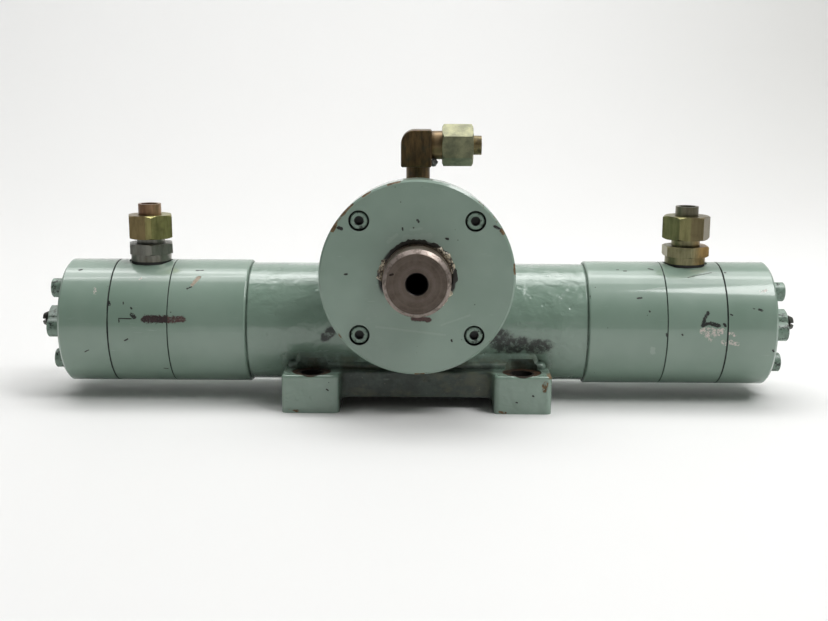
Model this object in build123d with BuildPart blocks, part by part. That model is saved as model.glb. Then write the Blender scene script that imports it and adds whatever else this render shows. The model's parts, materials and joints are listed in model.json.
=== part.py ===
"""Foot-mounted rack-and-pinion rotary actuator.

A cast housing holds a round rack that two pistons push to and fro.  The rack turns a
pinion shaft that leaves the front cover.  A port head and an end cap close each end of
the piston bore, and a slotted screw in each cap sets the end of the stroke.

Frame: origin in the middle of the foot bolt pattern, on the mounting plane.
+X runs along the cylinders, +Z is up and the output shaft points along -Y.  Millimetres.
"""
from build123d import *
from math import acos, cos, pi, radians, sin, sqrt, tan
import os

os.makedirs("parts", exist_ok=True)

# ---------------------------------------------------------------- driving dimensions
RACK_Z = 38.0            # height of the rack and cylinder axis
PINION_RISE = 32.0       # pinion axis above the rack axis
PINION_Z = RACK_Z + PINION_RISE

CYLINDER_R = 32.5        # turned ends, port heads and end caps, 65 across
ARM_R = 31.0             # rough cast arms
ARM_END = 88.0           # the cast skin stops here, the turned end begins
HOUSING_END = 128.0      # joint between housing and port head
HEAD_END = 158.5         # joint between port head and end cap
CAP_END = 184.5          # outer face of the end cap
SEAM_CHAMFER = 0.4
STEP_EDGE = 1.2          # rounding where the turned end meets the cast arm
CAP_CHAMFER = 1.2

BOSS_R = 41.0            # round boss around the pinion
BOSS_FRONT = 42.0        # its front face, in front of the rack plane
BOSS_REAR = 36.0
BOSS_FILLET = 8.0
FLANGE_R = 46.0          # the boss widens towards the front cover
FLANGE_T = 12.0
FLANGE_FILLET = 4.0

COVER_CHAMFER = 1.0
SHAFT_R = 16.5           # free end of the shaft
JOURNAL_R = 17.0
SHAFT_FRONT = 70.0       # distance of the shaft's front face from the rack plane
SHAFT_REAR = 37.0
SHAFT_CHAMFER = 2.0
RELIEF_LOW = 53.6        # turned relief between journal and free end
RELIEF_HIGH = 54.6
RELIEF_R = 16.0
RUN_GAP = 0.05           # radial clearance of running fits

MODULE = 2.0
TEETH = 20
PRESSURE = radians(20)
PITCH_R = MODULE * TEETH / 2
PITCH_LINE = PINION_RISE - PITCH_R    # rack pitch line above the rack axis
BACKLASH = 0.12          # taken off the thickness of each tooth
FACE = 36.0              # pinion face width
BORE_R = 16.0            # piston bore
RACK_R = 15.9
RACK_END = 62.0
RACK_SPACES = 15
PISTON_END = 92.0        # outer face of a piston at mid stroke

FOOT_X = 53.5
FOOT_Y = 38.0
FOOT_W = 29.2
FOOT_H = 19.4
FOOT_FRONT = 48.0
FOOT_HOLE_R = 5.5
SPOTFACE_R = 10.0
SPOTFACE_DEPTH = 0.7
SPOTFACE_REACH = 5.0     # height the spot face cutter clears above the foot
BASE_GAP = 6.0           # relief under the base between the foot rails
BASE_Y = 38.0            # half the depth of the base plate
PAD_X = 66.4             # upright pad between base plate and arms
PAD_Y = 32.5
PAD_TOP = 22.4
PAD_EDGE = 1.8
RAMP_INSET = 1.6         # a sloped ramp leads from the pad up into the arms
RAMP_H = 6.6
RAMP_SLOPE = 22.0

END_BOLT_RING = 21.8
END_BOLT_R = 3.0
PORT_X = 141.8
PORT_FACE = 31.0         # spot face under a port fitting, above the rack axis


# details that follow from standard parts
FOOT_CORNER = 3.0
FOOT_EDGE = 1.2
WEB_FILLET = 6.5
FOOT_HOLES = [(sx * FOOT_X, sy * FOOT_Y) for sx in (-1, 1) for sy in (-1, 1)]
COVER_SCREW_R = 2.5
COVER_SCREW_DEPTH = 14.0
COUNTERBORE_R = 5.0
COUNTERBORE_DEPTH = 5.5
SPIGOT_GAP = 0.05
BUSH_END = 20.0          # inner end of both spigots and of the plain part of both bushes
BUSH_R = 20.5
THRUST_GAP = 0.3         # between pinion face and bush flange
SHAFT_SEAL_LOW = 44.5    # the shaft seal lies between these distances from the rack plane
SHAFT_SEAL_HIGH = 50.5
SHAFT_HOLE_R = 17.8
CENTRE_HOLE_R = 5.1
CENTRE_HOLE_L = 25.0


def square_pattern(radius):
    """Four places at 45 degrees to the axes, at a radius."""
    return [(radius * cos(pi / 4 + turn * pi / 2), radius * sin(pi / 4 + turn * pi / 2))
            for turn in range(4)]


# the two covers: side along Y, joint face, radius, thickness, screw places, spigot radius,
# radius of the bush flange and outer end of the bush, from the rack plane
FRONT = dict(side=-1, face=BOSS_FRONT, radius=48.25, thick=12.0, screws=square_pattern(40.0),
             bore=30.0, flange=26.0, bush_out=44.0)
REAR = dict(side=1, face=BOSS_REAR, radius=38.0, thick=8.0, screws=square_pattern(31.5),
            bore=25.0, flange=24.0, bush_out=36.0)
END_BOLTS = [(END_BOLT_RING * cos(turn * pi / 3), END_BOLT_RING * sin(turn * pi / 3))
             for turn in range(6)]
END_BOLT_DEPTH = 20.0
BOLT_GAP = 0.3
WASHER_R = 4.95
WASHER_T = 1.2

# compression fittings, heights above the rack axis
PORT_THREAD_R = 8.3
PORT_THREAD_L = 7.0
PORT_SPOT_R = 11.5
PORT_DRILL_R = 4.5
PORT_SEAL_IN = 8.4
PORT_SEAL_OUT = 10.3
COLLAR_LOW = 32.5        # the bonded seal fills the gap between spot face and collar
COLLAR_R = 10.5
COLLAR_TOP = 36.2
STUD_HEX_TOP = 41.75
STUD_NECK_R = 7.4
STUD_MALE_R = 9.0
PORT_FLATS = 22.0
PORT_TUBE_R = 6.0
PORT_BORE_R = 4.0
NUT_OVERLAP = 4.8        # a union nut reaches this far past the male thread
PORT_NUT_L = 12.3
TUBE_TOP = 62.4
# how each end's fitting was left: start of the nut, turn of the nut, turn of the stud
TIGHTENED = {"left": (44.4, 44.4, 44.0), "right": (45.2, 2.4, 31.4)}
DRAIN_FACE = PINION_Z + BOSS_R - 0.8
DRAIN_SPOT_R = 9.5
DRAIN_THREAD_R = 6.2
DRAIN_THREAD_DEPTH = 9.0
DRAIN_BORE_R = 3.0
DRAIN_AXIS_Z = RACK_Z + 93.7
DRAIN_TUBE_R = 5.0
DRAIN_FLATS = 19.0
DRAIN_NUT_L = 16.1
DRAIN_TUBE_END = 33.0
DRAIN_NUT_TURN = 33.0
ELBOW_HALF = 8.2
ELBOW_LEFT = -8.9
ELBOW_RIGHT = 7.1
ELBOW_LOW = RACK_Z + 82.6
ELBOW_TOP = RACK_Z + 101.7
ELBOW_HEEL = 7.0
ELBOW_EDGE = 1.0
ELBOW_NECK_R = 7.4
ELBOW_NECK_END = 12.5
ELBOW_MALE_R = 8.0

# port heads, caps, stops and pistons
HEAD_SPIGOT_R = BORE_R - 0.05
HEAD_SPIGOT_L = 4.0
HEAD_GROOVE_R = 14.5
HEAD_BORE_R = 12.5
CAP_SPIGOT_R = HEAD_BORE_R - 0.05
CAP_SPIGOT_L = 6.0
CAP_GROOVE_R = 10.55
STOP_R = 4.0
STOP_IN = 124.0
STOP_OUT = 200.8
STOP_THREAD = 170.0
STOP_PITCH = 1.25
STOP_THREAD_DEPTH = 0.75
STOP_CHAMFER = 0.9
STOP_SLOT_W = 1.2
STOP_SLOT_D = 2.0
STOP_SEAL_R = 6.8
STOP_SEAL_T = 2.5
LOCK_NUT_FLATS = 13.0
LOCK_NUT_H = 10.0
LOCK_NUT_TURN = 25.0
PISTON_R = 15.9
PISTON_BOLT_R = 4.0
PISTON_BOLT_GRIP = 16.0
POCKET_R = 6.75
POCKET_L = 8.0
GUIDE_LOW = 66.0
GUIDE_HIGH = 72.0
GUIDE_R = 14.4
SEAL_LOW = 76.0
SEAL_HIGH = 80.2
SEAL_R = 12.9
GUIDE_HALF = 20.0
GUIDE_POCKET_R = 18.5
GUIDE_WEDGE = 32.0       # half width of the wedge that bounds the strip, at the ground


# ---------------------------------------------------------------- shared shapes
def end_plane(side, x):
    """Plane across the cylinder axis at distance x, its normal pointing outwards."""
    return Plane(origin=(side * x, 0, RACK_Z), x_dir=(0, side, 0), z_dir=(side, 0, 0))


def cover_plane(side, y):
    """Plane across the pinion axis at distance y, its normal pointing outwards."""
    return Plane(origin=(0, side * y, PINION_Z), x_dir=(-side, 0, 0), z_dir=(0, side, 0))


def write(node, part):
    """Label one finished piece and write its STEP file."""
    part.label = node
    export_step(part, f"parts/{node}.step")


def ring(plane, inner, outer, low, high):
    """Plain ring along the plane's normal."""
    with BuildPart() as body:
        with BuildSketch(plane.offset(low)):
            Circle(outer)
            Circle(inner, mode=Mode.SUBTRACT)
        extrude(amount=high - low)
    return body.part


def o_ring(plane, radius, thickness, height):
    """Round-section ring at a height along the plane's normal."""
    with BuildPart(plane) as body:
        with Locations((0, 0, height)):
            Torus(radius, thickness / 2)
    return body.part


def turned(plane, outline):
    """Turned shape about the plane's normal, from (radius, height) points."""
    section = Plane(origin=plane.origin, x_dir=plane.x_dir, z_dir=-plane.y_dir)
    with BuildPart() as body:
        with BuildSketch(section):
            with BuildLine():
                Polyline(*outline, close=True)
            make_face()
        revolve(axis=Axis(plane.origin, plane.z_dir))
    return body.part


def hex_body(plane, flats, low, high, turn=0.0, bevel=1.4):
    """Hexagon along the plane's normal, with its corners turned off at both ends."""
    corner = flats / sqrt(3)
    drop = bevel * tan(radians(30))
    blank = turned(plane, [(0, low), (corner - bevel, low), (corner, low + drop),
                           (corner, high - drop), (corner - bevel, high), (0, high)])
    with BuildPart() as body:
        add(blank)
        with BuildSketch(plane.offset(low)):
            RegularPolygon(flats / 2, 6, major_radius=False, rotation=turn)
        extrude(amount=high - low, mode=Mode.INTERSECT)
    return body.part


def cap_screws(plane, places, head_r, head_h, flats, socket, shank_r, shank, bevel=0.5):
    """Socket head cap screws standing on the plane, shanks pointing back along the normal."""
    with BuildPart() as body:
        with BuildSketch(plane):
            with Locations(*places):
                Circle(head_r)
        extrude(amount=head_h)
        chamfer(body.edges().group_by(Axis(plane.origin, plane.z_dir))[-1], bevel)
        with BuildSketch(plane.offset(head_h)):
            with Locations(*places):
                RegularPolygon(flats / 2, 6, major_radius=False, rotation=15)
        extrude(amount=-socket, mode=Mode.SUBTRACT)
        with BuildSketch(plane):
            with Locations(*places):
                Circle(shank_r)
        extrude(amount=-shank)
    return body.part


def guide_strip(inner):
    """Curved wear strip under the rack, from an inner radius to the floor of its pocket."""
    with BuildPart() as body:
        with BuildSketch(Plane.YZ.offset(-GUIDE_HALF)):
            with Locations((0, RACK_Z)):
                Circle(GUIDE_POCKET_R)
                Circle(inner, mode=Mode.SUBTRACT)
            with BuildLine():
                Polyline((0, RACK_Z), (GUIDE_WEDGE, 0), (-GUIDE_WEDGE, 0), close=True)
            make_face(mode=Mode.INTERSECT)
        extrude(amount=2 * GUIDE_HALF)
    return body.part


# ---------------------------------------------------------------- housing
# base plate with two rails that stand on the ground, its top edges rounded
with BuildPart() as base_plate:
    with BuildSketch(Plane.XY.offset(BASE_GAP)):
        Rectangle(2 * FOOT_X, 2 * BASE_Y)
    extrude(amount=FOOT_H - BASE_GAP)
    with BuildSketch(Plane.XY):
        with Locations((-FOOT_X, 0), (FOOT_X, 0)):
            RectangleRounded(FOOT_W, 2 * FOOT_FRONT, FOOT_CORNER)
    extrude(amount=FOOT_H)
    inner_corners = base_plate.edges().filter_by(Axis.Z).filter_by(
        lambda edge: abs(abs(edge.center().Y) - BASE_Y) < 0.01
        and abs(abs(edge.center().X) - (FOOT_X - FOOT_W / 2)) < 0.01)
    fillet(inner_corners, WEB_FILLET)
    fillet(base_plate.faces().sort_by(Axis.Z)[-1].outer_wire().edges(), FOOT_EDGE)
    # pad that carries the arms, and the ramp that leads up into them
    with BuildSketch(Plane.XY.offset(BASE_GAP)):
        RectangleRounded(2 * PAD_X, 2 * PAD_Y, FOOT_CORNER)
    extrude(amount=PAD_TOP - BASE_GAP)
    fillet(base_plate.faces().sort_by(Axis.Z)[-1].outer_wire().edges(), PAD_EDGE)
    with BuildSketch(Plane.XY.offset(PAD_TOP)):
        RectangleRounded(2 * (PAD_X - RAMP_INSET - PAD_EDGE), 2 * (PAD_Y - RAMP_INSET),
                         FOOT_CORNER)
    extrude(amount=RAMP_H, taper=RAMP_SLOPE)

with BuildPart() as housing:
    with Locations((0, 0, RACK_Z)):
        Cylinder(ARM_R, 2 * ARM_END, rotation=(0, 90, 0))
    with BuildSketch(cover_plane(-1, BOSS_FRONT)):
        Circle(BOSS_R)
    extrude(amount=-(BOSS_FRONT + BOSS_REAR))
    # the boss runs into the arms in a large cast fillet
    saddle = housing.edges().filter_by(
        lambda edge: edge.geom_type not in (GeomType.CIRCLE, GeomType.LINE))
    fillet(saddle, BOSS_FILLET)
    # flange for the front cover, with a hollow fillet behind it
    with BuildSketch(cover_plane(-1, BOSS_FRONT)):
        Circle(FLANGE_R)
    extrude(amount=-FLANGE_T)
    back = BOSS_FRONT - FLANGE_T
    with BuildSketch(Plane(origin=(0, 0, PINION_Z), x_dir=(1, 0, 0), z_dir=(0, 0, 1))):
        with BuildLine():
            bend = RadiusArc((BOSS_R, FLANGE_FILLET - back), (BOSS_R + FLANGE_FILLET, -back),
                             -FLANGE_FILLET)
            Polyline(bend @ 1, (BOSS_R + FLANGE_FILLET, -back - 1), (BOSS_R - 1, -back - 1),
                     (BOSS_R - 1, FLANGE_FILLET - back), bend @ 0)
        make_face()
    revolve(axis=Axis((0, 0, PINION_Z), (0, 1, 0)))

    add(base_plate.part)

    # turned ends
    for side in (-1, 1):
        with BuildSketch(end_plane(side, ARM_END)):
            Circle(CYLINDER_R)
        extrude(amount=HOUSING_END - ARM_END)
    turned_rims = housing.edges().filter_by(GeomType.CIRCLE).filter_by(
        lambda edge: abs(edge.radius - CYLINDER_R) < 0.01).group_by(
        lambda edge: round(abs(edge.center().X)))
    fillet(turned_rims[0], STEP_EDGE)
    chamfer(turned_rims[-1], SEAM_CHAMFER)

    # piston bore, pinion chamber and the pocket of the rack guide
    with Locations((0, 0, RACK_Z)):
        Cylinder(BORE_R, 2 * HOUSING_END + 2, rotation=(0, 90, 0), mode=Mode.SUBTRACT)
    for cover_data, depth in ((FRONT, BOSS_FRONT + BUSH_END), (REAR, BOSS_REAR)):
        with BuildSketch(cover_plane(cover_data["side"], cover_data["face"])):
            Circle(cover_data["bore"])
        extrude(amount=-depth, mode=Mode.SUBTRACT)
    add(guide_strip(BORE_R - 1), mode=Mode.SUBTRACT)

    # threaded holes for the cover screws and the end bolts
    for cover_data in (FRONT, REAR):
        with BuildSketch(cover_plane(cover_data["side"], cover_data["face"])):
            with Locations(*cover_data["screws"]):
                Circle(COVER_SCREW_R)
        extrude(amount=-COVER_SCREW_DEPTH, mode=Mode.SUBTRACT)
    for side in (-1, 1):
        with BuildSketch(end_plane(side, HOUSING_END)):
            with PolarLocations(END_BOLT_RING, 6):
                Circle(END_BOLT_R)
        extrude(amount=-END_BOLT_DEPTH, mode=Mode.SUBTRACT)

    # foot holes with their spot faces
    with BuildSketch(Plane.XY.offset(FOOT_H - SPOTFACE_DEPTH)):
        with Locations(*FOOT_HOLES):
            Circle(SPOTFACE_R)
    extrude(amount=SPOTFACE_DEPTH + SPOTFACE_REACH, mode=Mode.SUBTRACT)
    with BuildSketch(Plane.XY):
        with Locations(*FOOT_HOLES):
            Circle(FOOT_HOLE_R)
    extrude(amount=FOOT_H, mode=Mode.SUBTRACT)

    # drain port on top of the boss
    with BuildSketch(Plane.XY.offset(DRAIN_FACE)):
        Circle(DRAIN_SPOT_R)
    extrude(amount=BOSS_R, mode=Mode.SUBTRACT)
    with BuildSketch(Plane.XY.offset(DRAIN_FACE)):
        Circle(DRAIN_THREAD_R)
    extrude(amount=-DRAIN_THREAD_DEPTH, mode=Mode.SUBTRACT)
    with BuildSketch(Plane.XY.offset(DRAIN_FACE)):
        Circle(DRAIN_BORE_R)
    extrude(amount=-(DRAIN_FACE - PINION_Z), mode=Mode.SUBTRACT)
write("housing", housing.part)
write("rack_guide", guide_strip(RACK_R + RUN_GAP))


# ---------------------------------------------------------------- covers
def cover(data, pocket_out, shaft_hole):
    """Round cover with a spigot, a bush pocket and four counterbored screw holes."""
    face = cover_plane(data["side"], data["face"])
    spigot_l = data["face"] - BUSH_END
    spigot_r = data["bore"] - SPIGOT_GAP
    groove = -spigot_l / 3
    with BuildPart() as body:
        with BuildSketch(face):
            Circle(data["radius"])
        extrude(amount=data["thick"])
        chamfer(body.edges().group_by(Axis(face.origin, face.z_dir))[-1], COVER_CHAMFER)
        with BuildSketch(face):
            Circle(spigot_r)
        extrude(amount=-spigot_l)
        with BuildSketch(face.offset(-spigot_l)):
            Circle(BUSH_R)
        extrude(amount=pocket_out - BUSH_END, mode=Mode.SUBTRACT)
        if shaft_hole:
            with BuildSketch(face):
                Circle(SHAFT_HOLE_R)
            extrude(amount=data["thick"], mode=Mode.SUBTRACT)
        with BuildSketch(face):
            with Locations(*data["screws"]):
                Circle(COVER_SCREW_R + 0.25)
        extrude(amount=data["thick"], mode=Mode.SUBTRACT)
        with BuildSketch(face.offset(data["thick"])):
            with Locations(*data["screws"]):
                Circle(COUNTERBORE_R)
        extrude(amount=-COUNTERBORE_DEPTH, mode=Mode.SUBTRACT)
        add(ring(face, spigot_r - 2, spigot_r + 1, groove - 1.3, groove + 1.3),
            mode=Mode.SUBTRACT)
    return body.part


write("front_cover", cover(FRONT, SHAFT_SEAL_HIGH, True))
write("rear_cover", cover(REAR, BOSS_REAR + 2, False))
for end, data in (("front", FRONT), ("rear", REAR)):
    face = cover_plane(data["side"], data["face"])
    mid = cover_plane(data["side"], 0)
    grip = data["thick"] - COUNTERBORE_DEPTH
    write(f"{end}_cover_seal",
          o_ring(face, data["bore"] - SPIGOT_GAP - 1, 1.9, -(data["face"] - BUSH_END) / 3))
    write(f"{end}_cover_screws",
          cap_screws(face.offset(grip), data["screws"], 4.25, 5.0, 4.0, 2.6,
                     COVER_SCREW_R, grip + COVER_SCREW_DEPTH))
    # bush: bronze, with a flange that takes the pinion's thrust
    thrust = FACE / 2 + THRUST_GAP
    write(f"{end}_bearing",
          turned(mid, [(JOURNAL_R + RUN_GAP, thrust), (data["flange"], thrust),
                       (data["flange"], BUSH_END), (BUSH_R, BUSH_END), (BUSH_R, data["bush_out"]),
                       (JOURNAL_R + RUN_GAP, data["bush_out"])]))
write("shaft_seal", ring(cover_plane(-1, 0), JOURNAL_R + RUN_GAP, BUSH_R,
                         SHAFT_SEAL_LOW, SHAFT_SEAL_HIGH))


# ---------------------------------------------------------------- pinion shaft and rack
def involute(angle):
    return tan(angle) - angle


def flank_point(radius, hand):
    """Point on one flank of a tooth that points along +X."""
    half = (pi * MODULE / 2 - BACKLASH) / 2 / PITCH_R
    base_r = PITCH_R * cos(PRESSURE)
    reach = acos(min(1, base_r / max(radius, base_r)))
    turn = hand * (half + involute(PRESSURE) - involute(reach))
    return radius * cos(turn), radius * sin(turn)


TIP_R = PITCH_R + MODULE
ROOT_R = PITCH_R - 1.25 * MODULE
BASE_R = PITCH_R * cos(PRESSURE)
FLANK = [BASE_R + (TIP_R - BASE_R) * step / 5 for step in range(6)]
with BuildSketch() as tooth:
    with BuildLine():
        Spline(*[flank_point(radius, -1) for radius in FLANK])
        ThreePointArc(flank_point(TIP_R, -1), (TIP_R, 0), flank_point(TIP_R, 1))
        Spline(*[flank_point(radius, 1) for radius in reversed(FLANK)])
        Polyline(flank_point(BASE_R, 1), flank_point(ROOT_R - 0.5, 1),
                 flank_point(ROOT_R - 0.5, -1), flank_point(BASE_R, -1))
    make_face()

front = cover_plane(-1, 0)
with BuildPart() as pinion_shaft:
    add(turned(front, [(0, -SHAFT_REAR), (JOURNAL_R - 1, -SHAFT_REAR), (JOURNAL_R, 1 - SHAFT_REAR),
                       (JOURNAL_R, RELIEF_LOW), (RELIEF_R, RELIEF_LOW), (RELIEF_R, RELIEF_HIGH),
                       (SHAFT_R, RELIEF_HIGH),
                       (SHAFT_R, SHAFT_FRONT - SHAFT_CHAMFER),
                       (SHAFT_R - SHAFT_CHAMFER, SHAFT_FRONT),
                       (CENTRE_HOLE_R + 0.6, SHAFT_FRONT), (CENTRE_HOLE_R, SHAFT_FRONT - 0.6),
                       (CENTRE_HOLE_R, SHAFT_FRONT - CENTRE_HOLE_L),
                       (0, SHAFT_FRONT - CENTRE_HOLE_L - 3)]))
    with BuildSketch(front.offset(-FACE / 2)):
        Circle(ROOT_R)
        with PolarLocations(0, TEETH):
            add(tooth.sketch)
    extrude(amount=FACE)
write("pinion_shaft", pinion_shaft.part)

ADDENDUM_Z = PITCH_LINE + MODULE
SPACE_HALF = pi * MODULE / 4 + BACKLASH / 2
upright = Plane(origin=(0, 0, RACK_Z), x_dir=(1, 0, 0), z_dir=(0, -1, 0))
with BuildPart() as rack:
    with Locations((0, 0, RACK_Z)):
        Cylinder(RACK_R, 2 * RACK_END, rotation=(0, 90, 0))
    with Locations((0, 0, RACK_Z + ADDENDUM_Z + RACK_R)):
        Box(2 * RACK_END + 2, 2 * RACK_R + 2, 2 * RACK_R, mode=Mode.SUBTRACT)
    with BuildSketch(upright):
        for space in range(RACK_SPACES):
            middle = (space - RACK_SPACES // 2) * pi * MODULE
            top = SPACE_HALF + MODULE * tan(PRESSURE)
            foot = SPACE_HALF - 1.25 * MODULE * tan(PRESSURE)
            low = PITCH_LINE - 1.25 * MODULE
            with BuildLine():
                Polyline((middle - foot, low), (middle + foot, low), (middle + top, ADDENDUM_Z),
                         (middle + top, ADDENDUM_Z + 1), (middle - top, ADDENDUM_Z + 1),
                         (middle - top, ADDENDUM_Z), close=True)
            make_face()
    extrude(amount=RACK_R + 1, both=True, mode=Mode.SUBTRACT)
    for side in (-1, 1):
        with BuildSketch(end_plane(side, RACK_END)):
            Circle(PISTON_BOLT_R)
        extrude(amount=-PISTON_BOLT_GRIP, mode=Mode.SUBTRACT)
write("rack", rack.part)


# ---------------------------------------------------------------- fittings
def compression_joint(plane, tube_r, male_r, flats, base, length, tube_top, turn):
    """Union nut, cutting ring and tube stub of one compression fitting."""
    male = base + length - NUT_OVERLAP
    with BuildPart() as nut:
        add(hex_body(plane, flats, base, base + length, turn))
        add(turned(plane, [(0, base - 1), (male_r, base - 1), (male_r, male + 1),
                           (tube_r + 0.15, base + length - 1),
                           (tube_r + 0.15, base + length + 1), (0, base + length + 1)]),
            mode=Mode.SUBTRACT)
    cutting = turned(plane, [(tube_r, male - 3.4), (tube_r + 0.15, male - 3.4),
                             (tube_r + 1.1, male + 0.1), (tube_r + 2.1, male + 0.3),
                             (tube_r + 2.1, male + 1), (tube_r + 0.6, male + 2.6),
                             (tube_r, male + 2.6)])
    tube = ring(plane, tube_r - 1.5, tube_r, base + 1.3, tube_top)
    return nut.part, cutting, tube


def socket_bore(plane, tube_r, bore_r, low, base, male):
    """Through bore, tube socket and 24 degree cone of a stud, as one shape to cut away."""
    return turned(plane, [(0, low), (bore_r, low), (bore_r, base + 1), (tube_r + 0.05, base + 1),
                          (tube_r + 0.05, male - 4), (tube_r + 1.3, male + 0.01),
                          (0, male + 0.01)])


def write_joint(name, pieces):
    for label, piece in zip(("union_nut", "cutting_ring", "tube_stub"), pieces):
        write(f"{name}_{label}", piece)


for end, side in (("left", -1), ("right", 1)):
    port = Plane(origin=(side * PORT_X, 0, RACK_Z))
    base, nut_turn, stud_turn = TIGHTENED[end]
    male = base + PORT_NUT_L - NUT_OVERLAP
    low = PORT_FACE - PORT_THREAD_L
    write_joint(f"{end}_port", compression_joint(port, PORT_TUBE_R, STUD_MALE_R, PORT_FLATS,
                                                 base, PORT_NUT_L, TUBE_TOP, nut_turn))
    with BuildPart() as stud:
        add(turned(port, [(0, low), (PORT_THREAD_R, low), (PORT_THREAD_R, COLLAR_LOW),
                          (COLLAR_R, COLLAR_LOW), (COLLAR_R, COLLAR_TOP),
                          (STUD_NECK_R, COLLAR_TOP), (STUD_NECK_R, base),
                          (STUD_MALE_R, base), (STUD_MALE_R, male), (0, male)]))
        add(hex_body(port, PORT_FLATS, COLLAR_TOP, STUD_HEX_TOP, stud_turn, 1.0))
        add(socket_bore(port, PORT_TUBE_R, PORT_BORE_R, low - 1, base, male),
            mode=Mode.SUBTRACT)
    write(f"{end}_port_stud", stud.part)
    write(f"{end}_port_seal",
          ring(port, PORT_SEAL_IN, PORT_SEAL_OUT, PORT_FACE, COLLAR_LOW))

# drain elbow: a square forged body, its stud down into the boss and its outlet along +X
drain = Plane(origin=(0, 0, DRAIN_AXIS_Z), x_dir=(0, 1, 0), z_dir=(1, 0, 0))
vertical = Plane(origin=(0, 0, 0))
drain_male = ELBOW_NECK_END + DRAIN_NUT_L - NUT_OVERLAP
drain_low = DRAIN_FACE - DRAIN_THREAD_DEPTH
with BuildPart() as elbow:
    with BuildSketch(Plane.XZ.offset(-ELBOW_HALF)):
        with Locations(((ELBOW_LEFT + ELBOW_RIGHT) / 2, (ELBOW_LOW + ELBOW_TOP) / 2)):
            block = Rectangle(ELBOW_RIGHT - ELBOW_LEFT, ELBOW_TOP - ELBOW_LOW)
        heel = block.vertices().group_by(Axis.X)[0].sort_by(Axis.Z)[-1]
        fillet(heel, ELBOW_HEEL)
    extrude(amount=2 * ELBOW_HALF)
    fillet(elbow.edges(), ELBOW_EDGE)
    add(turned(vertical, [(0, drain_low), (DRAIN_THREAD_R, drain_low),
                          (DRAIN_THREAD_R, ELBOW_LOW + 1), (0, ELBOW_LOW + 1)]))
    add(turned(drain, [(0, 0), (ELBOW_NECK_R, 0), (ELBOW_NECK_R, ELBOW_NECK_END),
                       (ELBOW_MALE_R, ELBOW_NECK_END), (ELBOW_MALE_R, drain_male),
                       (0, drain_male)]))
    add(turned(vertical, [(0, drain_low - 1), (DRAIN_BORE_R, drain_low - 1),
                          (DRAIN_BORE_R, DRAIN_AXIS_Z), (0, DRAIN_AXIS_Z)]), mode=Mode.SUBTRACT)
    add(socket_bore(drain, DRAIN_TUBE_R, DRAIN_BORE_R, 0, ELBOW_NECK_END, drain_male),
        mode=Mode.SUBTRACT)
write("drain_elbow", elbow.part)
write_joint("drain", compression_joint(drain, DRAIN_TUBE_R, ELBOW_MALE_R, DRAIN_FLATS,
                                       ELBOW_NECK_END, DRAIN_NUT_L, DRAIN_TUBE_END,
                                       DRAIN_NUT_TURN))


# ---------------------------------------------------------------- port heads, caps, stops
def port_head(side):
    """Steel head with the pressure port on top and a spigot into the housing bore."""
    inner = end_plane(side, HOUSING_END)
    port = Plane(origin=(side * PORT_X, 0, RACK_Z))
    with BuildPart() as body:
        with BuildSketch(inner):
            Circle(CYLINDER_R)
        extrude(amount=HEAD_END - HOUSING_END)
        chamfer(body.edges().filter_by(GeomType.CIRCLE), SEAM_CHAMFER)
        with BuildSketch(inner):
            Circle(HEAD_SPIGOT_R)
        extrude(amount=-HEAD_SPIGOT_L)
        with BuildSketch(inner.offset(-HEAD_SPIGOT_L)):
            Circle(HEAD_BORE_R)
        extrude(amount=HEAD_END - HOUSING_END + HEAD_SPIGOT_L, mode=Mode.SUBTRACT)
        add(ring(inner, HEAD_GROOVE_R, HEAD_SPIGOT_R + 1, -3.0, -1.0), mode=Mode.SUBTRACT)
        with BuildSketch(inner):
            with PolarLocations(END_BOLT_RING, 6):
                Circle(END_BOLT_R + BOLT_GAP)
        extrude(amount=HEAD_END - HOUSING_END, mode=Mode.SUBTRACT)
        for radius, low, high in ((PORT_SPOT_R, PORT_FACE, CYLINDER_R + 1),
                                  (PORT_THREAD_R, PORT_FACE - PORT_THREAD_L, PORT_FACE + 1),
                                  (PORT_DRILL_R, HEAD_BORE_R / 2, PORT_FACE)):
            with BuildSketch(port.offset(low)):
                Circle(radius)
            extrude(amount=high - low, mode=Mode.SUBTRACT)
    return body.part


def end_cap(side):
    """Steel cap with a spigot into the port head and the stop screw's thread."""
    inner = end_plane(side, HEAD_END)
    with BuildPart() as body:
        with BuildSketch(inner):
            Circle(CYLINDER_R)
        extrude(amount=CAP_END - HEAD_END)
        rims = body.edges().filter_by(GeomType.CIRCLE).sort_by(Axis(inner.origin, inner.z_dir))
        chamfer(rims[0], SEAM_CHAMFER)
        rims = body.edges().filter_by(GeomType.CIRCLE).sort_by(Axis(inner.origin, inner.z_dir))
        chamfer(rims[-1], CAP_CHAMFER)
        with BuildSketch(inner):
            Circle(CAP_SPIGOT_R)
        extrude(amount=-CAP_SPIGOT_L)
        add(ring(inner, CAP_GROOVE_R, CAP_SPIGOT_R + 1, -4.2, -2.0), mode=Mode.SUBTRACT)
        with BuildSketch(inner.offset(-CAP_SPIGOT_L)):
            Circle(STOP_R + RUN_GAP)
        extrude(amount=CAP_END - HEAD_END + CAP_SPIGOT_L, mode=Mode.SUBTRACT)
        with BuildSketch(inner):
            with PolarLocations(END_BOLT_RING, 6):
                Circle(END_BOLT_R + BOLT_GAP)
        extrude(amount=CAP_END - HEAD_END, mode=Mode.SUBTRACT)
    return body.part


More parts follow.
